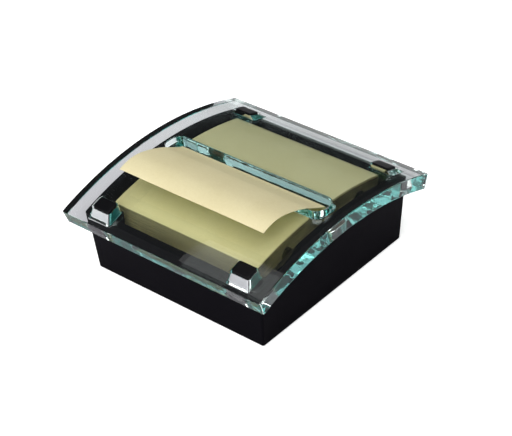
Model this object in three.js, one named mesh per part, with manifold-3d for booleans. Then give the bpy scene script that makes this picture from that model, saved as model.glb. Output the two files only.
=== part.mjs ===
// A pop-up sticky note dispenser. A weighted black base holds a tray that arches a pad of square notes,
// and a thick clear cover lies over the pad on the rim of the base. Four corner grips locate the cover,
// which lifts off, and the top note stands out of its slot and curls forwards.
// Millimetres, +Z up, front towards -Y, origin on the desk under the middle.

import * as THREE from 'three';
import { mergeVertices } from 'three/addons/utils/BufferGeometryUtils.js';
import Module from 'manifold-3d';

const wasm = await Module();
wasm.setup();

// Notes and pad
const noteSize = 76.2;
const sheetThickness = 0.3;
const sheetGap = 0.1;
const padThickness = 9.4;
const backingThickness = 0.5;
const noteHeadroom = 0.6;

// Note standing out of the slot
const noteStraightLength = 18.2;
const noteRiseDegrees = 30;
const noteCurlRadius = 33.5;
const noteWallGap = 0.12;
const noteSplitGap = 0.7;

// Clear cover
const coverSideOverhang = 7.8;
const coverEndOverhang = 9.55;
const coverThickness = 6.8;
const coverRadius = 153;
const crownHeight = 40.3;
const slotSideGap = 4.2;
const slotWidth = 12.4;
const slotForwardOffset = 0.5;
const mouldTaperShare = 0.15;

// Corner grips and their pegs
const gripInsetX = 7.7;
const gripInsetY = 0.5;
const gripHoleWidth = 9.7;
const gripHoleDepth = 6.2;
const gripHoleRound = 0.8;
const gripHeight = 3.6;
const gripProud = 0.6;
const gripRoof = 1.2;
const pegWidth = 7;
const pegDepth = 3.4;
const pegRound = 0.6;
const towerWidth = 12.6;
const towerReach = 4.9;

// Base shell
const padGap = 3.8;
const baseDraftShare = 0.065;
const baseWall = 2.8;
const baseRound = 0.9;
const footStandOut = 0.4;
const plateLedge = 1.3;

// Tray
const floorThickness = 2;
const trayEndGap = 0.9;
const traySideGap = 1;
const skirtThickness = 1.4;
const skirtSideGap = 0.4;
const guideInset = 15.6;
const guideThickness = 2;
const guidePadGap = 0.6;
const guideHeadroom = 1.3;
const guideLead = 1.7;
const guideLeadHeight = 3.5;
const bossRadius = 3.4;
const bossHoleDepth = 8;

// Bottom plate, weight, feet and screws
const plateThickness = 2.2;
const plateInset = 0.4;
const weightSideGap = 2.1;
const weightEndGap = 1.6;
const weightHeadroom = 4;
const weightRound = 2;
const footRadius = 4.5;
const footRecess = 1.2;
const footBevel = 0.4;
const footInsetX = 11.2;
const footInsetY = 10.2;
const screwInset = 11.2;
const screwFootSpacing = 12.5;
const screwRadius = 1.3;
const screwLength = 9;
const screwTip = 1.4;
const screwHeadRadius = 2.7;
const screwHeadHeight = 0.9;
const screwHeadInset = 0.1;
const screwCrossLength = 3;
const screwCrossWidth = 0.7;
const screwCrossDepth = 0.5;

// Clearances
const fitGap = 0.3;
const cutOverrun = 3;

// Steps round a curve
const archSteps = 32;
const roundSteps = 5;
const discSteps = 28;
const endSteps = 14;
const curlSteps = 22;

// Values that follow from the sizes above
const archZ = crownHeight - coverRadius;
const underRadius = coverRadius - coverThickness;
const rimRadius = underRadius - fitGap;
const tailTopRadius = underRadius - noteHeadroom;
const tailRadius = tailTopRadius - sheetThickness;
const nextTopRadius = tailRadius - sheetGap;
const nextRadius = nextTopRadius - sheetThickness;
const padTopRadius = nextRadius - sheetGap;
const padRadius = padTopRadius - padThickness;
const backingTopRadius = padRadius - sheetGap;
const backingRadius = backingTopRadius - backingThickness;
const floorTopRadius = backingRadius - sheetGap;
const floorRadius = floorTopRadius - floorThickness;
const railRadius = floorRadius - fitGap;
const innerHalf = noteSize / 2 + padGap;
const baseHalf = innerHalf + baseWall;
const coverWidth = 2 * (baseHalf + coverSideOverhang);
const coverDepth = 2 * (baseHalf + coverEndOverhang);
const slotLength = noteSize + 2 * slotSideGap;
const trayHalfDepth = noteSize / 2 + trayEndGap;
const guideY = noteSize / 2 - guideInset;
const footX = baseHalf - footInsetX;
const footY = baseHalf - footInsetY;
const screwX = baseHalf - screwInset;
const screwY = footY - screwFootSpacing;
const cavityHalf = innerHalf - plateLedge;
const plateBottom = footStandOut + plateInset;
const plateTop = plateBottom + plateThickness;
const noteRise = THREE.MathUtils.degToRad(noteRiseDegrees);
const noteFootY = slotWidth / 2 - slotForwardOffset + mouldTaperShare * coverThickness - noteWallGap;
const tailStart = Math.asin((noteFootY + noteSplitGap) / tailTopRadius);
const tailEnd = noteSize / 2 / tailTopRadius;
const tailLength = tailTopRadius * (tailEnd - tailStart);

// Height of an arch of this radius at this distance from the middle
function archHeight(radius, y) {
  return archZ + Math.sqrt(radius * radius - y * y);
}

// Finishes
const finishes = {
  blackPlastic: { color: 0x0d0d10, roughness: 0.42, metalness: 0 },
  clearAcrylic: { color: 0xc9ece4, roughness: 0.02, metalness: 0, transparent: true, opacity: 0.35 },
  gripRubber: { color: 0x101012, roughness: 0.6, metalness: 0 },
  footRubber: { color: 0x2a2a2c, roughness: 0.85, metalness: 0 },
  castWeight: { color: 0x6d6f72, roughness: 0.55, metalness: 1 },
  zincSteel: { color: 0xb4b6b8, roughness: 0.3, metalness: 1 },
  notePaper: { color: 0xe3d9a6, roughness: 0.9, metalness: 0 },
  backingCard: { color: 0xb9a883, roughness: 0.95, metalness: 0 },
};

const dispenser = new THREE.Group();

function addPiece(name, geometry, finish) {
  const mesh = new THREE.Mesh(geometry, new THREE.MeshStandardMaterial(finishes[finish]));
  mesh.name = name;
  dispenser.add(mesh);
  return mesh;
}

// Solids for cutting and joining
function solidOf(geometry) {
  const plain = geometry.clone();
  plain.deleteAttribute('normal');
  plain.deleteAttribute('uv');
  const merged = mergeVertices(plain);
  return new wasm.Manifold(new wasm.Mesh({
    numProp: 3,
    vertProperties: new Float32Array(merged.attributes.position.array),
    triVerts: new Uint32Array(merged.index.array),
  }));
}

function geometryOf(solid) {
  const mesh = solid.getMesh();
  const geometry = new THREE.BufferGeometry();
  geometry.setAttribute('position', new THREE.BufferAttribute(new Float32Array(mesh.vertProperties), 3));
  geometry.setIndex(new THREE.BufferAttribute(new Uint32Array(mesh.triVerts), 1));
  geometry.computeVertexNormals();
  return geometry;
}

// A prism across X from an outline of [y, z] points
function acrossX(outline, width, centreX = 0) {
  const shape = new THREE.Shape(outline.map(([y, z]) => new THREE.Vector2(y, z)));
  const geometry = new THREE.ExtrudeGeometry(shape, { depth: width, bevelEnabled: false });
  const turn = new THREE.Matrix4().set(
    0, 0, 1, centreX - width / 2,
    1, 0, 0, 0,
    0, 1, 0, 0,
    0, 0, 0, 1,
  );
  return solidOf(geometry.applyMatrix4(turn));
}

// A prism along Y from an outline of [x, z] points
function alongY(outline, depth, centreY) {
  const shape = new THREE.Shape(outline.map(([x, z]) => new THREE.Vector2(x, z)));
  const geometry = new THREE.ExtrudeGeometry(shape, { depth, bevelEnabled: false });
  return solidOf(geometry.rotateX(Math.PI / 2).translate(0, centreY + depth / 2, 0));
}

function block(minX, maxX, minY, maxY, minZ, maxZ) {
  const geometry = new THREE.BoxGeometry(maxX - minX, maxY - minY, maxZ - minZ);
  return solidOf(geometry.translate((minX + maxX) / 2, (minY + maxY) / 2, (minZ + maxZ) / 2));
}

function cylinder(radius, x, y, minZ, maxZ) {
  const geometry = new THREE.CylinderGeometry(radius, radius, maxZ - minZ, discSteps);
  return solidOf(geometry.rotateX(Math.PI / 2).translate(x, y, (minZ + maxZ) / 2));
}

// The outline of a rectangle with round corners, centred on the origin
function roundRectangle(halfX, halfY, round, steps = roundSteps) {
  const points = [];
  const corners = [[1, 1], [-1, 1], [-1, -1], [1, -1]];
  corners.forEach(([sideX, sideY], corner) => {
    for (let step = 0; step <= steps; step += 1) {
      const angle = (corner + step / steps) * Math.PI / 2;
      const x = sideX * (halfX - round) + round * Math.cos(angle);
      const y = sideY * (halfY - round) + round * Math.sin(angle);
      points.push([x, y]);
    }
  });
  return points;
}

// A solid between two outlines with the same number of points, one over the other
function loft(lower, upper, minZ, maxZ) {
  const count = lower.length;
  const positions = [
    ...lower.flatMap(([x, y]) => [x, y, minZ]),
    ...upper.flatMap(([x, y]) => [x, y, maxZ]),
  ];
  const face = THREE.ShapeUtils.triangulateShape(lower.map(([x, y]) => new THREE.Vector2(x, y)), []);
  const index = [];
  face.forEach(([a, b, c]) => {
    index.push(a, c, b, count + a, count + b, count + c);
  });
  for (let i = 0; i < count; i += 1) {
    const next = (i + 1) % count;
    index.push(i, next, count + next, i, count + next, count + i);
  }
  const geometry = new THREE.BufferGeometry();
  geometry.setAttribute('position', new THREE.Float32BufferAttribute(positions, 3));
  geometry.setIndex(index);
  return solidOf(geometry);
}

// A prism with round corners whose half sizes at sizeZ are given, and which widens with height by a share.
// Its corners keep their radius, or with roundShare 1 they grow as it widens.
function taperedPrism({ halfX, halfY, round, sizeZ, minZ, maxZ, widenShare, roundShare = 0, steps }) {
  const at = (z) => {
    const grow = widenShare * (z - sizeZ);
    return roundRectangle(halfX + grow, halfY + grow, round + roundShare * grow, steps);
  };
  return loft(at(minZ), at(maxZ), minZ, maxZ);
}

// Points on an arch of this radius from one Y to another
function archPoints(radius, fromY, toY, steps = archSteps) {
  const start = Math.asin(fromY / radius);
  const end = Math.asin(toY / radius);
  const points = [];
  for (let step = 0; step <= steps; step += 1) {
    const angle = start + (end - start) * step / steps;
    points.push([radius * Math.sin(angle), archZ + radius * Math.cos(angle)]);
  }
  return points;
}

// An arched plate with upright ends
function archedPlate(innerRadius, outerRadius, fromY, toY, width, steps = archSteps) {
  const outline = [
    ...archPoints(outerRadius, fromY, toY, steps).reverse(),
    ...archPoints(innerRadius, fromY, toY, steps),
  ];
  return acrossX(outline, width);
}

// Everything below an arch, for cutting
function belowArch(radius, halfY, width) {
  const lowZ = footStandOut - cutOverrun;
  return acrossX([...archPoints(radius, -halfY, halfY).reverse(), [-halfY, lowZ], [halfY, lowZ]], width);
}

const corners = [
  { name: 'front_left', sideX: -1, sideY: -1 },
  { name: 'front_right', sideX: 1, sideY: -1 },
  { name: 'rear_left', sideX: -1, sideY: 1 },
  { name: 'rear_right', sideX: 1, sideY: 1 },
];

function moved(solid, sideX, sideY, x, y) {
  return solid.translate([sideX * x, sideY * y, 0]);
}

// Corner grips: rubber blocks that fill the holes of the cover and sit on pegs of the base
const gripX = baseHalf - gripInsetX;
const gripY = baseHalf - gripInsetY;
const gripTop = archHeight(coverRadius, gripY);
const gripBottom = gripTop - gripHeight;
const pegTop = gripTop - gripRoof;

function gripSolid(sideX, sideY) {
  const wide = {
    halfX: gripHoleWidth / 2 - fitGap,
    halfY: gripHoleDepth / 2 - fitGap,
    round: gripHoleRound,
    sizeZ: gripTop,
    minZ: gripBottom,
    maxZ: crownHeight,
    widenShare: 0,
  };
  const pocket = {
    ...wide,
    halfX: pegWidth / 2 + fitGap,
    halfY: pegDepth / 2 + fitGap,
    round: pegRound,
    minZ: gripBottom - cutOverrun,
    maxZ: pegTop + fitGap,
  };
  const body = moved(taperedPrism(wide).subtract(taperedPrism(pocket)), sideX, sideY, gripX, gripY);
  return body.intersect(belowArch(coverRadius + gripProud, coverDepth / 2, coverWidth));
}

// Base shell: leaning walls with an arched rim, a rail for the tray, a rebate for the bottom plate,
// and four corner towers with the pegs
function baseShell() {
  const outerAt = {
    halfX: baseHalf,
    halfY: baseHalf,
    round: baseRound,
    sizeZ: 0,
    widenShare: baseDraftShare,
  };
  const outer = taperedPrism({ ...outerAt, minZ: footStandOut, maxZ: crownHeight });
  const inner = taperedPrism({
    ...outerAt,
    halfX: innerHalf,
    halfY: innerHalf,
    minZ: plateBottom,
    maxZ: crownHeight + cutOverrun,
  });
  const rim = belowArch(rimRadius, coverDepth / 2, coverWidth);
  const rail = belowArch(railRadius, coverDepth / 2, coverWidth);
  const middle = block(-cavityHalf, cavityHalf, -cavityHalf, cavityHalf, plateTop, crownHeight + cutOverrun);
  const rebateLow = footStandOut - cutOverrun;
  const rebate = block(-innerHalf, innerHalf, -innerHalf, innerHalf, rebateLow, plateTop);
  const wholeBody = outer.intersect(rim);
  let shell = wholeBody.subtract(inner.subtract(rail)).subtract(middle).subtract(rebate);
  const towerLow = plateTop + fitGap;
  const tower = block(
    gripX - towerWidth / 2, baseHalf + cutOverrun,
    gripY - towerReach, baseHalf + cutOverrun,
    towerLow, crownHeight,
  );
  const peg = taperedPrism({
    halfX: pegWidth / 2,
    halfY: pegDepth / 2,
    round: pegRound,
    sizeZ: pegTop,
    minZ: gripBottom - gripHeight - coverThickness,
    maxZ: pegTop,
    widenShare: 0,
  }).translate([gripX, gripY, 0]);
  corners.forEach(({ sideX, sideY }) => {
    const side = [sideX, sideY];
    shell = shell.add(turned(tower, side).intersect(wholeBody)).add(turned(peg, side));
  });
  return shell;
}

// The same piece mirrored to another side or corner
function turned(solid, [sideX, sideY]) {
  let result = solid;
  if (sideX < 0) result = result.mirror([1, 0, 0]);
  if (sideY < 0) result = result.mirror([0, 1, 0]);
  return result;
}

// Tray: an arched floor on skirts, with four guides beside the pad and a screw boss under each corner
function padTray() {
  const innerSpread = baseDraftShare * archHeight(floorRadius, trayHalfDepth);
  const trayHalfWidth = innerHalf + innerSpread - traySideGap / 2;
  const floor = archedPlate(floorRadius, floorTopRadius, -trayHalfDepth, trayHalfDepth, 2 * trayHalfWidth);
  const underFloor = belowArch(floorRadius + floorThickness / 2, coverDepth / 2, coverWidth);
  const skirtHalf = cavityHalf - skirtSideGap;
  const skirtLow = plateTop + fitGap;
  const skirt = block(
    -skirtHalf, skirtHalf, trayHalfDepth - skirtThickness, trayHalfDepth, skirtLow, crownHeight,
  ).intersect(underFloor);
  const guideIn = noteSize / 2 + guidePadGap;
  const guideTop = archHeight(underRadius - guideHeadroom, guideY + guideThickness / 2);
  const guideFoot = archHeight(floorRadius + floorThickness / 2, guideY);
  const guide = alongY([
    [guideIn, guideFoot],
    [trayHalfWidth, guideFoot],
    [trayHalfWidth, guideTop],
    [guideIn + guideLead, guideTop],
    [guideIn, guideTop - guideLeadHeight],
  ], guideThickness, guideY);
  const boss = cylinder(bossRadius, screwX, screwY, skirtLow, crownHeight).intersect(underFloor);
  const bossHole = cylinder(
    screwRadius + fitGap, screwX, screwY, skirtLow - cutOverrun, plateTop + bossHoleDepth,
  );
  let tray = floor.add(skirt).add(turned(skirt, [1, -1]));
  corners.forEach(({ sideX, sideY }) => {
    tray = tray.add(turned(guide, [sideX, sideY])).add(turned(boss, [sideX, sideY]));
    tray = tray.subtract(turned(bossHole, [sideX, sideY]));
  });
  return tray;
}

// Bottom plate: closes the base, with recesses for the feet and sunk holes for the screws
function bottomPlate() {
  const plateHalf = innerHalf - fitGap;
  const lowZ = plateBottom - cutOverrun;
  let plate = block(-plateHalf, plateHalf, -plateHalf, plateHalf, plateBottom, plateTop);
  corners.forEach(({ sideX, sideY }) => {
    const recess = cylinder(
      footRadius + fitGap, sideX * footX, sideY * footY, lowZ,
      plateBottom + footRecess,
    );
    const sink = cylinder(
      screwHeadRadius + fitGap, sideX * screwX, sideY * screwY, lowZ,
      plateBottom + screwHeadInset + screwHeadHeight,
    );
    const hole = cylinder(screwRadius + fitGap, sideX * screwX, sideY * screwY, lowZ, plateTop + cutOverrun);
    plate = plate.subtract(recess).subtract(sink).subtract(hole);
  });
  return plate;
}

// Screw: a flat round head with a cross recess, a shank and a short point
function screwSolid(x, y) {
  const headLow = plateBottom + screwHeadInset;
  const headTop = headLow + screwHeadHeight;
  const profile = [
    [0, headLow],
    [screwHeadRadius, headLow],
    [screwHeadRadius, headTop],
    [screwRadius, headTop],
    [screwRadius, headLow + screwLength - screwTip],
    [0, headLow + screwLength],
  ].map(([radius, z]) => new THREE.Vector2(radius, z));
  const turnedBody = new THREE.LatheGeometry(profile, discSteps).rotateX(Math.PI / 2);
  const long = screwCrossLength / 2;
  const narrow = screwCrossWidth / 2;
  const crossTop = headLow + screwCrossDepth;
  const cross = block(-long, long, -narrow, narrow, headLow - cutOverrun, crossTop)
    .add(block(-narrow, narrow, -long, long, headLow - cutOverrun, crossTop));
  return solidOf(turnedBody).subtract(cross).translate([x, y, 0]);
}

// Rubber foot: a disc with a bevelled lower edge
function footSolid(x, y) {
  const profile = [
    [0, 0],
    [footRadius - footBevel, 0],
    [footRadius, footBevel],
    [footRadius, plateBottom + footRecess],
    [0, plateBottom + footRecess],
  ].map(([radius, z]) => new THREE.Vector2(radius, z));
  return solidOf(new THREE.LatheGeometry(profile, discSteps).rotateX(Math.PI / 2)).translate([x, y, 0]);
}

// Clear cover: an arched plate with end faces square to the arch, a long slot and four tapered holes
function clearCover() {
  const endAngle = Math.asin(coverDepth / 2 / coverRadius);
  const innerEnd = underRadius * Math.sin(endAngle);
  const outline = [
    ...archPoints(coverRadius, -coverDepth / 2, coverDepth / 2).reverse(),
    ...archPoints(underRadius, -innerEnd, innerEnd),
  ];
  const lowZ = archHeight(underRadius, innerEnd) - cutOverrun;
  const highZ = crownHeight + cutOverrun;
  const slot = taperedPrism({
    halfX: slotLength / 2,
    halfY: slotWidth / 2,
    round: slotWidth / 2,
    sizeZ: crownHeight,
    minZ: lowZ,
    maxZ: crownHeight,
    widenShare: -mouldTaperShare,
    roundShare: 1,
    steps: endSteps,
  }).translate([0, -slotForwardOffset, 0]);
  const hole = taperedPrism({
    halfX: gripHoleWidth / 2,
    halfY: gripHoleDepth / 2,
    round: gripHoleRound,
    sizeZ: gripTop,
    minZ: lowZ,
    maxZ: highZ,
    widenShare: -mouldTaperShare,
  }).translate([gripX, gripY, 0]);
  let cover = acrossX(outline, coverWidth).subtract(slot);
  corners.forEach(({ sideX, sideY }) => {
    cover = cover.subtract(turned(hole, [sideX, sideY]));
  });
  return cover;
}

// Weight: a steel slab on the bottom plate, inside the tray's skirts and bosses
function weightSlab() {
  const halfX = screwX - bossRadius - weightSideGap;
  const halfY = trayHalfDepth - skirtThickness - weightEndGap;
  const maxZ = archHeight(floorRadius, halfY) - weightHeadroom;
  const minZ = plateTop;
  return taperedPrism({ halfX, halfY, round: weightRound, sizeZ: minZ, minZ, maxZ, widenShare: 0 });
}

// How far forwards and back a square note reaches when it is bent to this radius
function bentReach(radius) {
  return radius * Math.sin(noteSize / 2 / radius);
}

function bentSheet(innerRadius, outerRadius) {
  const reach = bentReach(outerRadius);
  return archedPlate(innerRadius, outerRadius, -reach, reach, noteSize);
}

// The part of the top note that still lies on the pad behind the slot
function noteTail() {
  const fromY = tailTopRadius * Math.sin(tailStart);
  return archedPlate(tailRadius, tailTopRadius, fromY, tailTopRadius * Math.sin(tailEnd), noteSize);
}

// The part of the top note that stands out: straight through the slot, then an even curl forwards
function poppedNote() {
  const footZ = archHeight(underRadius, noteFootY);
  const along = [-Math.cos(noteRise), Math.sin(noteRise)];
  const centre = [];
  const at = (distance) => [noteFootY + along[0] * distance, footZ + along[1] * distance];
  centre.push({ point: at(noteSplitGap), angle: noteRise });
  const bend = at(noteStraightLength);
  const curl = (noteSize - tailLength - noteSplitGap - noteStraightLength) / noteCurlRadius;
  for (let step = 0; step <= curlSteps; step += 1) {
    const angle = noteRise - curl * step / curlSteps;
    centre.push({
      point: [
        bend[0] - noteCurlRadius * (Math.sin(noteRise) - Math.sin(angle)),
        bend[1] + noteCurlRadius * (Math.cos(angle) - Math.cos(noteRise)),
      ],
      angle,
    });
  }
  const side = (sign) => centre.map(({ point, angle }) => [
    point[0] + sign * Math.sin(angle) * sheetThickness / 2,
    point[1] + sign * Math.cos(angle) * sheetThickness / 2,
  ]);
  return acrossX([...side(-1).reverse(), ...side(1)], noteSize);
}

addPiece('base_shell', geometryOf(baseShell()), 'blackPlastic');
addPiece('pad_tray', geometryOf(padTray()), 'blackPlastic');
addPiece('weight_slab', geometryOf(weightSlab()), 'castWeight');
addPiece('bottom_plate', geometryOf(bottomPlate()), 'blackPlastic');
corners.forEach(({ name, sideX, sideY }) => {
  addPiece(`corner_grip_${name}`, geometryOf(gripSolid(sideX, sideY)), 'gripRubber');
  addPiece(`bottom_screw_${name}`, geometryOf(screwSolid(sideX * screwX, sideY * screwY)), 'zincSteel');
  addPiece(`foot_${name}`, geometryOf(footSolid(sideX * footX, sideY * footY)), 'footRubber');
});
addPiece('pad_backing', geometryOf(bentSheet(backingRadius, backingTopRadius)), 'backingCard');
addPiece('note_pad', geometryOf(bentSheet(padRadius, padTopRadius)), 'notePaper');
addPiece('next_note', geometryOf(bentSheet(nextRadius, nextTopRadius)), 'notePaper');
addPiece('top_note_tail', geometryOf(noteTail()), 'notePaper');
addPiece('clear_cover', geometryOf(clearCover()), 'clearAcrylic');
addPiece('popped_note', geometryOf(poppedNote()), 'notePaper');

export default dispenser;
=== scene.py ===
"""The looks of a pop-up sticky note dispenser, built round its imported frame. Metres, +Z up, front at -Y."""

import math

import bmesh
import bpy
from mathutils import Matrix, Vector, noise
from mathutils.geometry import delaunay_2d_cdt


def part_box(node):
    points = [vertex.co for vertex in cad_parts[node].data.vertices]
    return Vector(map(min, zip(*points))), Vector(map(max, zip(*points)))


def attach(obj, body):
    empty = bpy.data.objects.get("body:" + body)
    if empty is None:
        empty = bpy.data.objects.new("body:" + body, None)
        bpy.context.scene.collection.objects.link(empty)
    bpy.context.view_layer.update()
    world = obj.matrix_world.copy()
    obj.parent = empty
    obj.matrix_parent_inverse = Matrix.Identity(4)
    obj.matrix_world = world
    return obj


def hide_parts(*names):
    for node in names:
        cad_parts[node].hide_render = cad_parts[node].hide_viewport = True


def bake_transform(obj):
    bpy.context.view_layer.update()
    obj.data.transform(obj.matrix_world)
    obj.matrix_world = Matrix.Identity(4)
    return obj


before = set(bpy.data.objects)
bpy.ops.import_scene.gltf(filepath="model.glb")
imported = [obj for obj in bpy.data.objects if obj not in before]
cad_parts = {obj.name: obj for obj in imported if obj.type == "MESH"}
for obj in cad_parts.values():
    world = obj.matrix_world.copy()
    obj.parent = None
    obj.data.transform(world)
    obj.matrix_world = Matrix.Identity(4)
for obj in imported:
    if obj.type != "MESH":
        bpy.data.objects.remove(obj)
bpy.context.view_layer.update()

MM = 0.001
STUDIO = bpy.context.scene.collection

# The cover, an arched plate, in sizes that its box doesn't give. Its hold is a narrow flat strip beside each
# rounded edge, which keeps the shine there tight
COVER_THICKNESS = 6.8 * MM
COVER_RADIUS = 153 * MM
UNDER_RADIUS = COVER_RADIUS - COVER_THICKNESS
COVER_CORNER = 0.9 * MM
COVER_CORNER_STEPS = 4
COVER_EASE = 0.35 * MM
COVER_HOLD = 0.2 * MM
COVER_WALL_ROWS = 8
COVER_EDGE_STEP = 1.3 * MM
_, cover_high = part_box("clear_cover")
ARCH_Z = cover_high.z - COVER_RADIUS
END_ANGLE = math.asin(cover_high.y / COVER_RADIUS)

# The slot in the cover. A taper is how far a wall leans outwards for each unit of depth
SLOT_LEFT_X = -41.5 * MM
SLOT_RIGHT_X = 42.6 * MM
SLOT_FRONT_Y = -5.2 * MM
SLOT_REAR_Y = 5.75 * MM
SLOT_CORNER = 4.2 * MM
SLOT_CORNER_STEPS = 10
SLOT_TAPER = 0.12

# The grip holes, side by side: the clearance to the grip at the top, and the taper
GRIP_CLEARANCE = {"left": 0.3 * MM, "right": 0.2 * MM, "front": 0.2 * MM, "rear": 0.25 * MM}
GRIP_TAPER = {"left": 0.08, "right": 0.2, "front": 0.16, "rear": 0.16}
GRIP_HOLE_CORNER = 0.9 * MM
GRIP_HOLE_CORNER_STEPS = 4

# The grips, which stand a little above the cover and reach a little into the base's rim
GRIP_PROUD = 0.6 * MM
GRIP_SUNK = 0.5 * MM
GRIP_CORNER = 1.1 * MM
GRIP_CORNER_STEPS = 5
GRIP_EASE = 0.45 * MM
GRIP_EDGE_STEP = 0.6 * MM

# The pad and its backing, which lie a little to the left and back of the middle. A sheet fills a share of its
# place in the pile. Sheets are thicker in the CAD, and lie a small gap apart there
pad_low, pad_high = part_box("note_pad")
NOTE_SIZE = pad_high.x - pad_low.x
PAD_THICKNESS = 9.4 * MM
PAD_SHEETS = 92
PAD_SHIFT = 0.03 * MM
PAD_BACK = 1.2 * MM
NOTES_LEFT = 0.5 * MM
SHEET_SHARE = 0.97
SHEET_STEPS = 49
BACKING_THICKNESS = 0.5 * MM
PAPER_THICKNESS = 0.12 * MM
CAD_SHEET = 0.3 * MM
CAD_SHEET_GAP = 0.1 * MM
NOTE_HEADROOM = 0.6 * MM

# The top note and the next one. The foot is where the top note leaves the pad and bends up into the slot
TOP_SHEET_BACK = 1.1 * MM
TAIL_RADIUS = UNDER_RADIUS - NOTE_HEADROOM - CAD_SHEET / 2
TAIL_STEPS = 26
NOTE_FOOT_Y = 6.75 * MM
NOTE_COLUMNS = 44
# The bends of the top note from the foot on, as (length, slope in degrees at its end, steps): up the slot's
# rear wall, over to the front, a crease, the rise out of the slot and the start of the curl
NOTE_BENDS = [
    (1.55 * MM, 76, 8), (1.65 * MM, 76, 3), (1.3 * MM, 20, 8), (1.0 * MM, 10, 3), (0.5 * MM, 27, 4),
    (1.2 * MM, 25, 3), (8.2 * MM, 30, 10), (1.5 * MM, 24, 3), (8.0 * MM, 18.5, 8), (6.0 * MM, 12, 8),
]
NOTE_END_SLOPE = -24
NOTE_END_STEPS = 24
# Past this row of points the standing part ripples slightly, most of all at its free edge
NOTE_FREE_ROW = 66
RIPPLE_WIDTH, RIPPLE_LENGTH, RIPPLE_HEIGHT, RIPPLE_PLACE = 34 * MM, 40 * MM, 0.5 * MM, 3.1

# How far the edges of the moulded, cast and turned pieces are rounded
EDGE_EASE = {
    "base_shell": 0.2 * MM, "pad_tray": 0.3 * MM, "weight_slab": 0.5 * MM, "bottom_plate": 0.25 * MM,
    "bottom_screw": 0.08 * MM, "foot": 0.15 * MM,
}
# Edges past the first angle are shaded sharp, those past the second are rounded, and faces within the third
# are joined up
SHARP_ANGLE = math.radians(30)
EASED_ANGLE = math.radians(35)
FLAT_ANGLE = math.radians(0.5)
# Points nearer than this count as one, in an outline and in a CAD solid's loose triangles
SAME_POINT = 0.001 * MM
WELD_DISTANCE = 0.002 * MM

# How high the surfaces' grain, fibres and waves stand
GRAIN_HEIGHT = 0.01 * MM
CAST_GRAIN_HEIGHT = 0.05 * MM
FIBRE_HEIGHT = 0.01 * MM
EDGE_WAVE_HEIGHT = 0.12 * MM

# The floor's colour and glow as the camera sees it, and as the cover and the base mirror it, where it glows
# away from the object only
FLOOR_SEEN = (0.95, 0.95, 0.95)
FLOOR_GLOW = 0.6
FLOOR_MIRRORED = (0.58, 0.54, 0.60)
FAR_GLOW = 0.85
FAR_GLOW_REACH = (60 * MM, 160 * MM)
# The surround: its strength at the horizon and high up, and a bright band that fades between two heights
SURROUND_COLOR = (0.97, 0.99, 1.0)
SURROUND_LOW, SURROUND_HIGH, SURROUND_TOP = 0.008, 0.08, 0.9
HORIZON_GLOW = 1.0
HORIZON_BAND = (0.055, 0.085)
# The lights: place, the point that they face, width and depth, and brightness seen straight on
LIGHTS = {
    "overhead_softbox": ((0.1, -0.42, 1.0), (0.05, -0.1, 0), (1.0, 0.9), 3.37),
    "camera_side_softbox": ((0.9, -1.1, 0.9), (0, 0, 0.02), (0.9, 0.9), 1.5),
    "low_front_softbox": ((-0.2, -1.2, 0.45), (0, 0, 0.03), (1.2, 0.45), 3.0),
    "rear_softbox": ((0.3, 0.75, 1.3), (0, 0.15, 0), (0.7, 0.5), 1.8),
    "left_strip": ((-0.44, 0.105, 0.9), (-0.44, 0.105, 0), (0.33, 0.2), 0.8),
}


def arch_height(radius, y):
    """How high an arch of this radius is at this distance from the middle."""
    return ARCH_Z + math.sqrt(radius * radius - y * y)


# Meshes

def new_object(name, vertices, faces, sharp_degrees=None):
    """A smooth-shaded closed mesh, with its faces turned outwards."""
    mesh = bpy.data.meshes.new(name)
    mesh.from_pydata([tuple(v) for v in vertices], [], faces)
    form = bmesh.new()
    form.from_mesh(mesh)
    bmesh.ops.recalc_face_normals(form, faces=form.faces)
    form.to_mesh(mesh)
    form.free()
    mesh.shade_smooth()
    if sharp_degrees:
        mesh.set_sharp_from_angle(angle=math.radians(sharp_degrees))
    piece = bpy.data.objects.new(name, mesh)
    STUDIO.objects.link(piece)
    return piece


def outline(half_x, half_y, corner, spacing, corner_steps):
    """Points round a rectangle with round corners, each with its outward direction and its place, -1 to 1."""
    corners = [(1, 1), (-1, 1), (-1, -1), (1, -1)]
    points = []

    def place(point, normal, spread):
        if all((point - old[0]).length > SAME_POINT for old in (points[-1:] + points[:1])):
            points.append((point, normal, spread))

    for quarter, (side_x, side_y) in enumerate(corners):
        centre = Vector((side_x * (half_x - corner), side_y * (half_y - corner)))
        for step in range(corner_steps + 1):
            angle = (quarter + step / corner_steps) * math.pi / 2
            normal = Vector((math.cos(angle), math.sin(angle)))
            place(centre + corner * normal, normal, Vector((side_x, side_y)))
        spread = Vector((side_x, side_y))
        side_x, side_y = corners[(quarter + 1) % 4]
        start = centre + corner * normal
        end = Vector((side_x * (half_x - corner), side_y * (half_y - corner))) + corner * normal
        count = math.ceil((end - start).length / spacing)
        for step in range(1, count):
            place(start.lerp(end, step / count), normal, spread.lerp(Vector((side_x, side_y)), step / count))
    return points


def strip(first, second, count):
    """The quads between two closed rows of points, given each row's first index."""
    return [
        (first + i, first + (i + 1) % count, second + (i + 1) % count, second + i)
        for i in range(count)
    ]


def inside(point, loop):
    """True if a point lies inside a closed loop of points, seen from above."""
    x, y = point
    odd = False
    for (ax, ay), (bx, by) in zip(loop, loop[1:] + loop[:1]):
        if (ay > y) != (by > y) and x < (bx - ax) * (y - ay) / (by - ay) + ax:
            odd = not odd
    return odd


def boxed(x, y, low, high):
    """True if a point lies between two corners, seen from above."""
    return low[0] < x < high[0] and low[1] < y < high[1]


def rounding(ease):
    """A quarter round from a face to a wall, as (distance in from the wall, distance down from the face)."""
    angles = (0, math.pi / 6, math.pi / 3, math.pi / 2)
    return [(ease * (1 - math.sin(angle)), ease * (1 - math.cos(angle))) for angle in angles]


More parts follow.
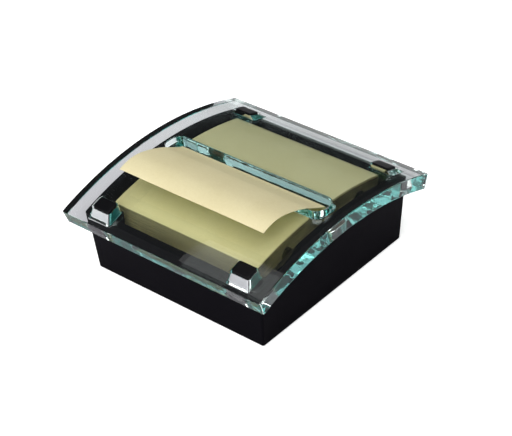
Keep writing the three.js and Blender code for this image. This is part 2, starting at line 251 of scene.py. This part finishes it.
def eased_rows(depth, ease, hold, wall_rows):
    """Rows down a wall, as (distance in from the edge, depth), with its upper and lower edge rounded."""
    bend = rounding(ease)
    rows = [(ease + hold, 0.0)] + bend
    for step in range(wall_rows):
        rows.append((0.0, ease + hold + (depth - 2 * (ease + hold)) * step / (wall_rows - 1)))
    return rows + [(inwards, depth - down) for inwards, down in reversed(bend)] + [(ease + hold, depth)]


# The clear cover

def cover_hole(centre_x, centre_y, half_x, half_y, corner, taper, spacing, corner_steps):
    """A hole that widens downwards through the cover: its outline's length, and a function for its points."""
    points = outline(half_x, half_y, corner, spacing, corner_steps)

    def place(index, inwards, depth):
        point, normal, spread = points[index]
        lean_x = taper["right"] if spread.x > 0 else taper["left"]
        lean_y = taper["rear"] if spread.y > 0 else taper["front"]
        flat = point + normal * inwards + Vector((spread.x * lean_x, spread.y * lean_y)) * depth
        y = centre_y + flat.y
        upper = arch_height(COVER_RADIUS, y)
        lower = arch_height(UNDER_RADIUS, y)
        return Vector((centre_x + flat.x, y, upper + (lower - upper) * depth / COVER_THICKNESS))

    return len(points), place


def cover_rim(spacing):
    """The cover's outer edge, square to its arch."""
    points = outline(
        cover_high.x, COVER_RADIUS * END_ANGLE, COVER_CORNER, spacing, COVER_CORNER_STEPS)

    def place(index, inwards, depth):
        point, normal, _ = points[index]
        flat = point - normal * inwards
        angle = flat.y / COVER_RADIUS
        radius = COVER_RADIUS - depth
        return Vector((flat.x, radius * math.sin(angle), ARCH_Z + radius * math.cos(angle)))

    return len(points), place


def build_cover():
    """The arched plate with its slot and four grip holes, every edge slightly rounded."""
    grip_low, grip_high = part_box("corner_grip_front_right")
    grip_x = (grip_low.x + grip_high.x) / 2
    grip_y = (grip_low.y + grip_high.y) / 2
    wide, deep = grip_high.x - grip_low.x, grip_high.y - grip_low.y
    grip_half_x = (wide + GRIP_CLEARANCE["left"] + GRIP_CLEARANCE["right"]) / 2
    grip_half_y = (deep + GRIP_CLEARANCE["front"] + GRIP_CLEARANCE["rear"]) / 2
    shift_x = (GRIP_CLEARANCE["right"] - GRIP_CLEARANCE["left"]) / 2
    shift_y = (GRIP_CLEARANCE["rear"] - GRIP_CLEARANCE["front"]) / 2
    slot_taper = dict.fromkeys(GRIP_TAPER, SLOT_TAPER)
    loops = [cover_rim(COVER_EDGE_STEP)]
    loops.append(cover_hole(
        (SLOT_LEFT_X + SLOT_RIGHT_X) / 2, (SLOT_FRONT_Y + SLOT_REAR_Y) / 2,
        (SLOT_RIGHT_X - SLOT_LEFT_X) / 2, (SLOT_REAR_Y - SLOT_FRONT_Y) / 2,
        SLOT_CORNER, slot_taper, COVER_EDGE_STEP, SLOT_CORNER_STEPS))
    for side_x in (-1, 1):
        for side_y in (-1, 1):
            loops.append(cover_hole(
                side_x * grip_x + shift_x, side_y * abs(grip_y) + shift_y, grip_half_x, grip_half_y,
                GRIP_HOLE_CORNER, GRIP_TAPER, GRIP_EDGE_STEP, GRIP_HOLE_CORNER_STEPS))
    rows = eased_rows(COVER_THICKNESS, COVER_EASE, COVER_HOLD, COVER_WALL_ROWS)
    vertices, faces, wall = [], [], []
    caps = {0: [], len(rows) - 1: []}
    for count, place in loops:
        starts = []
        for level, (inwards, depth) in enumerate(rows):
            starts.append(len(vertices))
            if level in caps:
                caps[level].append(range(len(vertices), len(vertices) + count))
            vertices += [place(i, inwards, depth) for i in range(count)]
        for upper, lower, first, second in zip(starts, starts[1:], rows, rows[1:]):
            faces += strip(upper, lower, count)
            wall += [1.0 if first[0] == second[0] == 0 else 0.0] * count
    for level, rings in caps.items():
        faces += fill_cap(vertices, rings, COVER_RADIUS if level == 0 else UNDER_RADIUS)
    cover = new_object("clear_cover_glazed", vertices, faces)
    edge_wave = cover.data.attributes.new("edge_wave", "FLOAT", "FACE")
    edge_wave.data.foreach_set("value", wall + [0.0] * (len(faces) - len(wall)))
    return cover


def fill_cap(vertices, rings, radius):
    """Triangles that fill an arched face between its outer ring and its holes, on a fine grid of points."""
    step_x, step_y, margin = 2.6 * MM, 1.3 * MM, 0.7 * MM
    least_area = (0.01 * MM) ** 2
    outer = [vertices[i] for i in rings[0]]
    half_x = max(v.x for v in outer)
    half_y = max(v.y for v in outer)
    index = [i for ring in rings for i in ring]
    flat = [Vector((vertices[i].x, vertices[i].y)) for i in index]
    edges = []
    for ring in rings:
        first = index.index(ring[0])
        edges += [(first + i, first + (i + 1) % len(ring)) for i in range(len(ring))]
    holes = []
    for ring in rings[1:]:
        loop = [(vertices[i].x, vertices[i].y) for i in ring]
        low = [min(p[k] for p in loop) - margin for k in (0, 1)]
        high = [max(p[k] for p in loop) + margin for k in (0, 1)]
        holes.append((loop, low, high))
    columns = int(half_x / step_x)
    lines = int(half_y / step_y)
    for column in range(-columns, columns + 1):
        for line in range(-lines, lines + 1):
            x, y = column * step_x, line * step_y
            if abs(x) > half_x - margin or abs(y) > half_y - margin:
                continue
            if any(boxed(x, y, low, high) for _, low, high in holes):
                continue
            index.append(len(vertices))
            flat.append(Vector((x, y)))
            vertices.append(Vector((x, y, arch_height(radius, y))))
    _, _, triangles, origins, _, _ = delaunay_2d_cdt(flat, edges, [], 0, 1e-9)
    kept = []
    for triangle in triangles:
        corners = [index[origins[i][0]] for i in triangle]
        middle = sum((vertices[i] for i in corners), Vector((0, 0, 0))) / 3
        spot = (middle.x, middle.y)
        a, b, c = (flat[origins[i][0]] for i in triangle)
        sliver = abs((b - a).cross(c - a)) < least_area
        in_hole = any(boxed(*spot, low, high) and inside(spot, loop) for loop, low, high in holes)
        if not sliver and not in_hole:
            kept.append(corners)
    return kept


# Node trees

def wire(tree, node, inputs):
    """Sets a node's inputs: another node's output is linked, and anything else is a plain value."""
    for key, value in inputs.items():
        if isinstance(value, bpy.types.NodeSocket):
            tree.links.new(value, node.inputs[key])
        else:
            node.inputs[key].default_value = value


def add_node(tree, kind, inputs=None, **settings):
    """A new node with its settings and its inputs."""
    node = tree.nodes.new(kind)
    for name, value in settings.items():
        setattr(node, name, value)
    wire(tree, node, inputs or {})
    return node


def calculated(tree, operation, *values):
    """The result of a Math node."""
    return add_node(tree, "ShaderNodeMath", dict(enumerate(values)), operation=operation).outputs[0]


def vector_of(tree, x=0.0, y=0.0, z=0.0):
    """Three numbers joined into a vector."""
    return add_node(tree, "ShaderNodeCombineXYZ", {"X": x, "Y": y, "Z": z}).outputs[0]


def ranged(tree, value, low, high, to_low, to_high):
    """A value carried over from one range to another, and held at its ends."""
    return add_node(tree, "ShaderNodeMapRange", {
        "Value": value, "From Min": low, "From Max": high, "To Min": to_low, "To Max": to_high,
    }).outputs["Result"]


def mixed(tree, share, first, second, data_type="RGBA"):
    """A mix of two colours, or of two numbers."""
    inputs = {"Factor": share, "A": first, "B": second}
    return add_node(tree, "ShaderNodeMix", inputs, data_type=data_type).outputs["Result"]


def new_group(kind, name, inputs, outputs):
    """An empty node group with named inputs and outputs, with the values it is given and its output node."""
    tree = bpy.data.node_groups.new(name, kind)
    for way, sockets in (("INPUT", inputs), ("OUTPUT", outputs)):
        for socket, socket_kind, *value in sockets:
            made = tree.interface.new_socket(socket, in_out=way, socket_type="NodeSocket" + socket_kind)
            if value:
                made.default_value = value[0]
    return tree, tree.nodes.new("NodeGroupInput").outputs, tree.nodes.new("NodeGroupOutput")


# The notes

def bend_over_arch():
    """A Geometry Nodes group that lays a flat stack over an arch: Y becomes the way round, Z the height."""
    tree, given, shown = new_group(
        "GeometryNodeTree", "bend_over_arch",
        [("Geometry", "Geometry"), ("Radius", "Float"), ("Centre Height", "Float")],
        [("Geometry", "Geometry")])
    place = add_node(tree, "GeometryNodeInputPosition")
    split = add_node(tree, "ShaderNodeSeparateXYZ", {0: place.outputs[0]})
    reach = calculated(tree, "ADD", given["Radius"], split.outputs["Z"])
    angle = calculated(tree, "DIVIDE", split.outputs["Y"], reach)
    across = calculated(tree, "MULTIPLY", reach, calculated(tree, "SINE", angle))
    upwards = calculated(tree, "MULTIPLY", reach, calculated(tree, "COSINE", angle))
    height = calculated(tree, "ADD", upwards, given["Centre Height"])
    moved = add_node(tree, "GeometryNodeSetPosition", {
        "Geometry": given["Geometry"],
        "Position": vector_of(tree, split.outputs["X"], across, height)})
    wire(tree, shown, {"Geometry": moved.outputs[0]})
    return tree


def stack_of_sheets(bend):
    """A Geometry Nodes tree for a pile of square sheets, each shifted a little, laid over an arch."""
    tree, given, shown = new_group(
        "GeometryNodeTree", "stack_of_sheets",
        [("Sheets", "Int"), ("Side", "Float"), ("Pitch", "Float"), ("Thickness", "Float"), ("Steps", "Int"),
         ("Shift", "Float"), ("Seed", "Int"), ("Left", "Float"), ("Back", "Float"), ("Radius", "Float"),
         ("Centre Height", "Float"), ("Material", "Material")],
        [("Geometry", "Geometry")])
    rightwards = calculated(tree, "MULTIPLY", given["Left"], -1)
    pile = add_node(tree, "GeometryNodeMeshLine", {
        "Count": given["Sheets"], "Offset": vector_of(tree, z=given["Pitch"]),
        "Start Location": vector_of(tree, rightwards, given["Back"])})
    chance = {"Seed": given["Seed"]}
    for name, sign in (("Min", -1), ("Max", 1)):
        limit = calculated(tree, "MULTIPLY", given["Shift"], sign)
        chance[name] = vector_of(tree, limit, limit)
    spread = add_node(tree, "FunctionNodeRandomValue", chance, data_type="FLOAT_VECTOR")
    shifted = add_node(tree, "GeometryNodeSetPosition", {
        "Geometry": pile.outputs[0], "Offset": spread.outputs["Value"]})
    size = vector_of(tree, given["Side"], given["Side"], given["Thickness"])
    sheet = add_node(tree, "GeometryNodeMeshCube", {"Size": size, "Vertices Y": given["Steps"]})
    copies = add_node(tree, "GeometryNodeInstanceOnPoints", {
        "Points": shifted.outputs[0], "Instance": sheet.outputs["Mesh"]})
    solid = add_node(tree, "GeometryNodeRealizeInstances", {0: copies.outputs[0]})
    bent = add_node(tree, "GeometryNodeGroup", {
        "Geometry": solid.outputs[0], "Radius": given["Radius"], "Centre Height": given["Centre Height"],
    }, node_tree=bend)
    painted = add_node(tree, "GeometryNodeSetMaterial", {
        "Geometry": bent.outputs[0], "Material": given["Material"]})
    wire(tree, shown, {"Geometry": painted.outputs[0]})
    return tree


def grown(name, tree, values):
    """The plain mesh object that a Geometry Nodes tree makes from its named inputs."""
    piece = bpy.data.objects.new(name, bpy.data.meshes.new(name))
    STUDIO.objects.link(piece)
    modifier = piece.modifiers.new("form", "NODES")
    modifier.node_group = tree
    for item in tree.interface.items_tree:
        if item.in_out == "INPUT" and item.name in values:
            modifier[item.identifier] = values[item.name]
    evaluated = piece.evaluated_get(bpy.context.evaluated_depsgraph_get())
    mesh = bpy.data.meshes.new_from_object(evaluated)
    piece.modifiers.remove(modifier)
    mesh.name = name
    mesh.shade_smooth()
    mesh.set_sharp_from_angle(angle=SHARP_ANGLE)
    piece.data = mesh
    return piece


def note_line():
    """The top note seen from the side, as (y, z, slope) from its rear edge to its free edge."""
    points = []
    tail_end = (NOTE_SIZE / 2 + TOP_SHEET_BACK) / TAIL_RADIUS
    fold_start = math.asin(NOTE_FOOT_Y / TAIL_RADIUS)
    for step in range(TAIL_STEPS + 1):
        angle = tail_end + (fold_start - tail_end) * step / TAIL_STEPS
        points.append((TAIL_RADIUS * math.sin(angle), ARCH_Z + TAIL_RADIUS * math.cos(angle), -angle))

    def go(length, end_slope, steps):
        """Carries the line on, turning evenly from its slope to another."""
        y, z, slope = points[-1]
        change = (end_slope - slope) / steps
        for _ in range(steps):
            slope += change / 2
            y -= math.cos(slope) * length / steps
            z += math.sin(slope) * length / steps
            slope += change / 2
            points.append((y, z, slope))

    for length, degrees, steps in NOTE_BENDS:
        go(length, math.radians(degrees), steps)
    used = TAIL_RADIUS * (tail_end - fold_start) + sum(length for length, _, _ in NOTE_BENDS)
    go(NOTE_SIZE - used, math.radians(NOTE_END_SLOPE), NOTE_END_STEPS)
    return points


def build_top_note():
    """One whole sheet: its tail on the pad, the fold behind the slot, and the part that curls over."""
    line = note_line()
    half = NOTE_SIZE / 2
    upper, lower = [], []
    for row, (y, z, slope) in enumerate(line):
        free = max(0.0, (row - NOTE_FREE_ROW) / (len(line) - 1 - NOTE_FREE_ROW))
        for column in range(NOTE_COLUMNS + 1):
            x = -half - NOTES_LEFT + NOTE_SIZE * column / NOTE_COLUMNS
            spot = Vector((x / RIPPLE_WIDTH, y / RIPPLE_LENGTH, RIPPLE_PLACE))
            wave = noise.noise(spot) * RIPPLE_HEIGHT * free
            lift = wave + PAPER_THICKNESS / 2
            sink = wave - PAPER_THICKNESS / 2
            upper.append(Vector((x, y + math.sin(slope) * lift, z + math.cos(slope) * lift)))
            lower.append(Vector((x, y + math.sin(slope) * sink, z + math.cos(slope) * sink)))
    width = NOTE_COLUMNS + 1
    shift = len(upper)
    faces = []
    for row in range(len(line) - 1):
        for column in range(NOTE_COLUMNS):
            a = row * width + column
            quad = (a, a + 1, a + 1 + width, a + width)
            faces.append(quad)
            faces.append(tuple(shift + i for i in reversed(quad)))
    last = (len(line) - 1) * width
    border = list(range(width)) + [row * width + NOTE_COLUMNS for row in range(1, len(line))]
    border += [last + column for column in range(NOTE_COLUMNS - 1, -1, -1)]
    border += [row * width for row in range(len(line) - 2, 0, -1)]
    for first, second in zip(border, border[1:] + border[:1]):
        faces.append((second, first, shift + first, shift + second))
    return new_object("top_note", upper + lower, faces, sharp_degrees=60)


# Moulded, cast and turned pieces

def eased_copy(node, name, width):
    """A copy of a CAD solid with its flat faces joined up and its edges rounded."""
    form = bmesh.new()
    form.from_mesh(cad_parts[node].data)
    bmesh.ops.remove_doubles(form, verts=form.verts, dist=WELD_DISTANCE)
    bmesh.ops.dissolve_limit(form, angle_limit=FLAT_ANGLE, verts=form.verts, edges=form.edges)
    mesh = bpy.data.meshes.new(name)
    form.to_mesh(mesh)
    form.free()
    mesh.shade_smooth()
    mesh.set_sharp_from_angle(angle=SHARP_ANGLE)
    piece = bpy.data.objects.new(name, mesh)
    STUDIO.objects.link(piece)
    bevel = piece.modifiers.new("eased_edges", "BEVEL")
    bevel.width = width
    bevel.segments = 2
    bevel.limit_method = "ANGLE"
    bevel.angle_limit = EASED_ANGLE
    bevel.harden_normals = True
    bevel.use_clamp_overlap = True
    return piece


def build_grip(node, name):
    """A rubber block that fills a corner hole from the base's rim up, its top following the cover."""
    low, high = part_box(node)
    centre = (low + high) / 2
    half_x, half_y = (high.x - low.x) / 2, (high.y - low.y) / 2
    points = outline(half_x, half_y, GRIP_CORNER, GRIP_EDGE_STEP, GRIP_CORNER_STEPS)
    top = COVER_RADIUS + GRIP_PROUD
    vertices, starts = [], []

    def ring(inwards, radius, down=0.0, share=1.0):
        """A closed row of points that follows an arch, or lies a little way down from it."""
        starts.append(len(vertices))
        for point, normal, _ in points:
            x = centre.x + share * (point.x - normal.x * inwards)
            y = centre.y + share * (point.y - normal.y * inwards)
            vertices.append(Vector((x, y, arch_height(radius, y) - down)))

    for share in (0.2, 0.5, 0.8):
        ring(GRIP_EASE, top, share=share)
    for inwards, down in rounding(GRIP_EASE):
        ring(inwards, top, down)
    ring(0.0, UNDER_RADIUS - GRIP_SUNK)
    count = len(points)
    faces = []
    for first, second in zip(starts, starts[1:]):
        faces += strip(first, second, count)
    faces.append(tuple(range(starts[0], starts[0] + count)))
    faces.append(tuple(range(starts[-1], starts[-1] + count)))
    return new_object(name, vertices, faces, sharp_degrees=50)


# Materials

def grain_group():
    """Fine moulded grain with broad patches of more and less shine."""
    tree, given, shown = new_group(
        "ShaderNodeTree", "surface_grain",
        [("Grain Scale", "Float", 4000.0), ("Patch Scale", "Float", 40.0), ("Low", "Float", 0.3),
         ("High", "Float", 0.5)],
        [("Roughness", "Float"), ("Height", "Float")])
    place = add_node(tree, "ShaderNodeTexCoord").outputs["Object"]
    fine = add_node(tree, "ShaderNodeTexNoise", {
        "Vector": place, "Scale": given["Grain Scale"], "Detail": 3})
    patch = add_node(tree, "ShaderNodeTexNoise", {
        "Vector": place, "Scale": given["Patch Scale"], "Detail": 4, "Roughness": 0.6})
    shine = ranged(tree, patch.outputs["Fac"], 0.3, 0.7, given["Low"], given["High"])
    wire(tree, shown, {"Roughness": shine, "Height": fine.outputs["Fac"]})
    return tree


def fibre_group():
    """Paper or card: pulp fibres and faint clouds between a pale and a deep colour."""
    tree, given, shown = new_group(
        "ShaderNodeTree", "pulp_fibre",
        [("Pale", "Color", (1, 1, 1, 1)), ("Deep", "Color", (0.8, 0.8, 0.8, 1)),
         ("Fibre Scale", "Float", 900.0), ("Cloud Scale", "Float", 60.0)],
        [("Color", "Color"), ("Height", "Float")])
    place = add_node(tree, "ShaderNodeTexCoord").outputs["Object"]
    fibre = add_node(tree, "ShaderNodeTexNoise", {
        "Vector": place, "Scale": given["Fibre Scale"], "Detail": 5, "Roughness": 0.65,
        "Distortion": 1.4}).outputs["Fac"]
    cloud = add_node(tree, "ShaderNodeTexNoise", {
        "Vector": place, "Scale": given["Cloud Scale"], "Detail": 3}).outputs["Fac"]
    both = calculated(tree, "MULTIPLY_ADD", fibre, 0.5, calculated(tree, "MULTIPLY", cloud, 0.5))
    share = ranged(tree, both, 0.35, 0.65, 0.0, 1.0)
    color = mixed(tree, share, given["Deep"], given["Pale"])
    wire(tree, shown, {"Color": color, "Height": fibre})
    return tree


def new_material(name, color, roughness, **values):
    """A material with its Principled shader's plain values set, and its tree and shader."""
    made = bpy.data.materials.new(name)
    made.use_nodes = True
    shader = made.node_tree.nodes["Principled BSDF"]
    wire(made.node_tree, shader, {"Base Color": (*color, 1), "Roughness": roughness})
    wire(made.node_tree, shader, {socket.replace("_", " "): value for socket, value in values.items()})
    return made, made.node_tree, shader


def bumped(tree, shader, height, distance, strength):
    """Feeds a height into the shader's normal."""
    bump = add_node(tree, "ShaderNodeBump", {"Height": height, "Distance": distance, "Strength": strength})
    wire(tree, shader, {"Normal": bump.outputs[0]})


def grained(
        name, group, color, low, high, grain=4000.0, patch=40.0, distance=GRAIN_HEIGHT, strength=0.3,
        **values):
    """A moulded, rubber or metal finish with the shared grain, its roughness between low and high."""
    made, tree, shader = new_material(name, color, (low + high) / 2, **values)
    surface = add_node(tree, "ShaderNodeGroup", {
        "Grain Scale": grain, "Patch Scale": patch, "Low": low, "High": high}, node_tree=group)
    wire(tree, shader, {"Roughness": surface.outputs["Roughness"]})
    bumped(tree, shader, surface.outputs["Height"], distance, strength)
    return made


def shade_painted_on_sides(tree, color, darkest):
    """Paints shade on a paper colour: darker on upright faces, the cut edges of a pile of sheets, where less
    light falls, and darker still at its left and right sides.
    """
    upright, level, side_share = 0.4, 0.8, 0.95
    place = add_node(tree, "ShaderNodeTexCoord")
    normal = add_node(tree, "ShaderNodeSeparateXYZ", {0: place.outputs["Normal"]})
    upwards = calculated(tree, "ABSOLUTE", normal.outputs["Z"])
    sideways = calculated(tree, "ABSOLUTE", normal.outputs["X"])
    # Painted shade: upright faces darker, the left and right sides darker still
    shade = ranged(tree, upwards, upright, level, darkest, 1.0)
    side_shade = calculated(tree, "MULTIPLY_ADD", sideways, side_share * (darkest - 1), 1.0)
    darker = add_node(tree, "ShaderNodeVectorMath", {
        0: color, "Scale": calculated(tree, "MULTIPLY", shade, side_shade)}, operation="SCALE")
    return darker.outputs[0]


def pulp(name, group, pale, deep, fibre, cloud, roughness, strength, painted_shade_level=None):
    """A paper or card finish with the shared fibre, and for a pile of sheets painted shade on its cut edges.
    """
    made, tree, shader = new_material(name, pale, roughness, Specular_IOR_Level=0.25)
    surface = add_node(tree, "ShaderNodeGroup", {
        "Pale": (*pale, 1), "Deep": (*deep, 1), "Fibre Scale": fibre, "Cloud Scale": cloud}, node_tree=group)
    color = surface.outputs["Color"]
    # Painted shade on the upright sides of a pile of sheets
    if painted_shade_level is not None:
        color = shade_painted_on_sides(tree, color, painted_shade_level)
    wire(tree, shader, {"Base Color": color})
    bumped(tree, shader, surface.outputs["Height"], FIBRE_HEIGHT, strength)
    return made


def acrylic():
    """Clear acrylic, pale green where light runs a long way in it, with slightly wavy polished edges."""
    made, tree, shader = new_material(
        "clear_acrylic", (0.99, 0.97, 0.945), 0.0, IOR=1.49, Transmission_Weight=1.0)
    output = tree.nodes["Material Output"]
    inner_tint = add_node(tree, "ShaderNodeVolumeAbsorption", {
        "Color": (0.0, 0.71, 0.665, 1), "Density": 14.0})
    place = add_node(tree, "ShaderNodeTexCoord")
    ripple = add_node(tree, "ShaderNodeTexNoise", {
        "Vector": place.outputs["Object"], "Scale": 260, "Detail": 2})
    edge = add_node(tree, "ShaderNodeAttribute", attribute_name="edge_wave").outputs["Fac"]
    wave = calculated(tree, "MULTIPLY", ripple.outputs["Fac"], edge)
    bumped(tree, shader, wave, EDGE_WAVE_HEIGHT, strength=0.6)
    # Light for the pieces below goes straight through, tinted, and less of it through the edges
    path = add_node(tree, "ShaderNodeLightPath")
    lighting = calculated(tree, "MAXIMUM", path.outputs["Is Shadow Ray"], path.outputs["Is Diffuse Ray"])
    let_through = add_node(tree, "ShaderNodeBsdfTransparent", {
        "Color": mixed(tree, edge, (0.985, 0.965, 0.945, 1), (0.42, 0.55, 0.5, 1))})
    either = add_node(tree, "ShaderNodeMixShader", {
        "Fac": lighting, 1: shader.outputs[0], 2: let_through.outputs[0]})
    wire(tree, output, {"Surface": either.outputs[0], "Volume": inner_tint.outputs[0]})
    return made


# Placing the pieces

def finish_piece(piece, material, body, slot, *nodes):
    """Gives a piece its material and its body, and hides the CAD nodes that it stands for. Its slot is not
    used.
    """
    piece.data.materials.clear()
    piece.data.materials.append(material)
    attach(piece, body)
    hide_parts(*nodes)


surface_grain = grain_group()
pulp_fibre = fibre_group()
black_plastic = grained(
    "black_plastic", surface_grain, (0.004, 0.0038, 0.0055), 0.34, 0.44, Specular_IOR_Level=0.02)
black_tray = grained(
    "black_tray", surface_grain, (0.004, 0.004, 0.005), 0.42, 0.52, Specular_IOR_Level=0.02)
grip_rubber = grained(
    "grip_rubber", surface_grain, (0.004, 0.004, 0.005), 0.3, 0.42, grain=2500.0, patch=120.0,
    Specular_IOR_Level=0.1)
foot_rubber = grained(
    "foot_rubber", surface_grain, (0.03, 0.03, 0.032), 0.75, 0.9, grain=1800.0, patch=150.0)
cast_weight = grained(
    "cast_weight", surface_grain, (0.16, 0.165, 0.17), 0.4, 0.65, grain=1500.0, patch=60.0,
    distance=CAST_GRAIN_HEIGHT, strength=0.5, Metallic=1.0)
zinc_steel = grained(
    "zinc_steel", surface_grain, (0.55, 0.56, 0.57), 0.22, 0.36, grain=3000.0, patch=300.0, Metallic=1.0)
note_paper = pulp(
    "note_paper", pulp_fibre, (0.81, 0.73, 0.455), (0.745, 0.66, 0.385), fibre=900.0, cloud=50.0,
    roughness=0.85, strength=0.25)
# The pad's paper is the note's paper painted a deeper yellow, a painted shade for the dimmer, yellower light
# under the cover, and it carries painted shade on its upright sides too
pad_paper_painted_shade = pulp(
    "pad_paper_painted_shade", pulp_fibre, (0.81, 0.71, 0.385), (0.745, 0.64, 0.325), fibre=900.0, cloud=50.0,
    roughness=0.85, strength=0.25, painted_shade_level=0.27)
backing_card = pulp(
    "backing_card", pulp_fibre, (0.5, 0.41, 0.27), (0.4, 0.32, 0.2), fibre=600.0, cloud=90.0,
    roughness=0.95, strength=0.5)
clear_acrylic = acrylic()

finish_piece(build_cover(), clear_acrylic, "cover", "clear_acrylic", "clear_cover")

sheets = stack_of_sheets(bend_over_arch())
common = {"Side": NOTE_SIZE, "Steps": SHEET_STEPS, "Left": NOTES_LEFT, "Centre Height": ARCH_Z}
pad_radius = UNDER_RADIUS - NOTE_HEADROOM - 2 * (CAD_SHEET + CAD_SHEET_GAP) - PAD_THICKNESS
pitch = PAD_THICKNESS / PAD_SHEETS
pad = grown("note_pad_sheets", sheets, {
    **common, "Sheets": PAD_SHEETS, "Pitch": pitch, "Thickness": SHEET_SHARE * pitch, "Shift": PAD_SHIFT,
    "Seed": 4, "Back": PAD_BACK, "Radius": pad_radius + pitch / 2, "Material": pad_paper_painted_shade})
finish_piece(pad, pad_paper_painted_shade, "base", "note_paper", "note_pad")
following = grown("next_note_sheet", sheets, {
    **common, "Sheets": 1, "Pitch": 0.0, "Thickness": PAPER_THICKNESS, "Shift": 0.0,
    "Seed": 1, "Back": TOP_SHEET_BACK, "Radius": TAIL_RADIUS - CAD_SHEET, "Material": pad_paper_painted_shade})
finish_piece(following, pad_paper_painted_shade, "base", "note_paper", "next_note")
backing = grown("pad_backing_card", sheets, {
    **common, "Sheets": 1, "Pitch": 0.0, "Thickness": BACKING_THICKNESS, "Shift": 0.0,
    "Seed": 1, "Back": PAD_BACK, "Radius": pad_radius - CAD_SHEET_GAP - BACKING_THICKNESS / 2,
    "Material": backing_card})
finish_piece(backing, backing_card, "base", "backing_card", "pad_backing")

top_note = build_top_note()
top_note.data.materials.append(note_paper)
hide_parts("top_note_tail", "popped_note")
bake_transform(top_note)

for node, material, slot in (
    ("base_shell", black_plastic, "black_plastic"),
    ("pad_tray", black_tray, "black_plastic"),
    ("weight_slab", cast_weight, "cast_weight"),
    ("bottom_plate", black_tray, "black_plastic"),
):
    moulded = eased_copy(node, node + "_moulded", EDGE_EASE[node])
    finish_piece(moulded, material, "base", slot, node)
for corner in ("front_left", "front_right", "rear_left", "rear_right"):
    grip = build_grip("corner_grip_" + corner, "grip_" + corner)
    finish_piece(grip, grip_rubber, "base", "grip_rubber", "corner_grip_" + corner)
    screw = eased_copy("bottom_screw_" + corner, "screw_" + corner, EDGE_EASE["bottom_screw"])
    finish_piece(screw, zinc_steel, "base", "zinc_steel", "bottom_screw_" + corner)
    foot = eased_copy("foot_" + corner, "rubber_foot_" + corner, EDGE_EASE["foot"])
    finish_piece(foot, foot_rubber, "base", "foot_rubber", "foot_" + corner)


# Studio: a pale floor, soft lights and the photograph's view

def build_floor():
    """A wide pale floor."""
    bpy.ops.mesh.primitive_circle_add(vertices=96, radius=4, fill_type="NGON")
    floor = bpy.context.object
    floor.name = "studio_floor"
    made, tree, shader = new_material("pale_floor", FLOOR_SEEN, 1.0, Specular_IOR_Level=0.0)
    seen = add_node(tree, "ShaderNodeLightPath").outputs["Is Camera Ray"]
    place = add_node(tree, "ShaderNodeTexCoord")
    reach = add_node(tree, "ShaderNodeVectorMath", {0: place.outputs["Object"]}, operation="LENGTH")
    far = ranged(tree, reach.outputs["Value"], *FAR_GLOW_REACH, 0.0, FAR_GLOW)
    wire(tree, shader, {
        "Base Color": mixed(tree, seen, (*FLOOR_MIRRORED, 1), (*FLOOR_SEEN, 1)),
        "Emission Color": (1, 1, 1, 1),
        "Emission Strength": mixed(tree, seen, far, FLOOR_GLOW, "FLOAT"),
    })
    floor.data.materials.append(made)


def area_light(name, place, target, size, radiance):
    """A soft light of this width and depth that faces a point, as bright as this seen straight on."""
    light = bpy.data.lights.new(name, "AREA")
    light.shape = "RECTANGLE"
    light.size, light.size_y = size
    light.energy = radiance * math.pi * size[0] * size[1]
    lamp = bpy.data.objects.new(name, light)
    STUDIO.objects.link(lamp)
    lamp.location = place
    lamp.rotation_euler = (Vector(target) - Vector(place)).to_track_quat("-Z", "Y").to_euler()


def build_world():
    """A dim surround, brighter overhead, with a bright band along the horizon where the floor turns up."""
    world = bpy.data.worlds.new("studio_surround")
    bpy.context.scene.world = world
    world.use_nodes = True
    tree = world.node_tree
    place = add_node(tree, "ShaderNodeTexCoord")
    height = add_node(tree, "ShaderNodeSeparateXYZ", {0: place.outputs["Generated"]}).outputs["Z"]
    dim = ranged(tree, height, 0.0, SURROUND_TOP, SURROUND_LOW, SURROUND_HIGH)
    band = ranged(tree, height, *HORIZON_BAND, HORIZON_GLOW, 0.0)
    seen = add_node(tree, "ShaderNodeLightPath").outputs["Is Camera Ray"]
    strength = calculated(tree, "MAXIMUM", calculated(tree, "MAXIMUM", dim, band), seen)
    wire(tree, tree.nodes["Background"], {"Color": (*SURROUND_COLOR, 1), "Strength": strength})


def build_camera():
    """The photograph's view: from the front right, a little above, turned slightly."""
    azimuth, elevation, roll = (math.radians(a) for a in (42.69, 34.51, -4.03))
    distance = 712.42 * MM
    target = Vector((0, 0, 25 * MM))
    image_width = 512
    focal_pixels = 1735.53
    shift_pixels = (9.14, -14.95)
    level = math.cos(elevation)
    back = Vector((math.sin(azimuth) * level, -math.cos(azimuth) * level, math.sin(elevation)))
    right = (-back).cross(Vector((0, 0, 1))).normalized()
    up = right.cross(-back)
    turned_right = right * math.cos(roll) + up * math.sin(roll)
    turned_up = up * math.cos(roll) - right * math.sin(roll)
    lens = bpy.data.cameras.new("photo_view")
    lens.sensor_width = 36
    lens.lens = focal_pixels / image_width * lens.sensor_width
    lens.shift_x = shift_pixels[0] / image_width
    lens.shift_y = shift_pixels[1] / image_width
    lens.clip_start = 0.01
    camera = bpy.data.objects.new("photo_view", lens)
    STUDIO.objects.link(camera)
    turn = Matrix((turned_right, turned_up, back)).transposed()
    camera.matrix_world = Matrix.Translation(target + back * distance) @ turn.to_4x4()
    bpy.context.scene.camera = camera


build_floor()
build_world()
for name, setting in LIGHTS.items():
    area_light(name, *setting)
build_camera()
bpy.context.scene.view_settings.view_transform = "Standard"
# Light meets many faces on its way through the clear cover
paths = bpy.context.scene.cycles
paths.max_bounces = paths.glossy_bounces = paths.transmission_bounces = 32
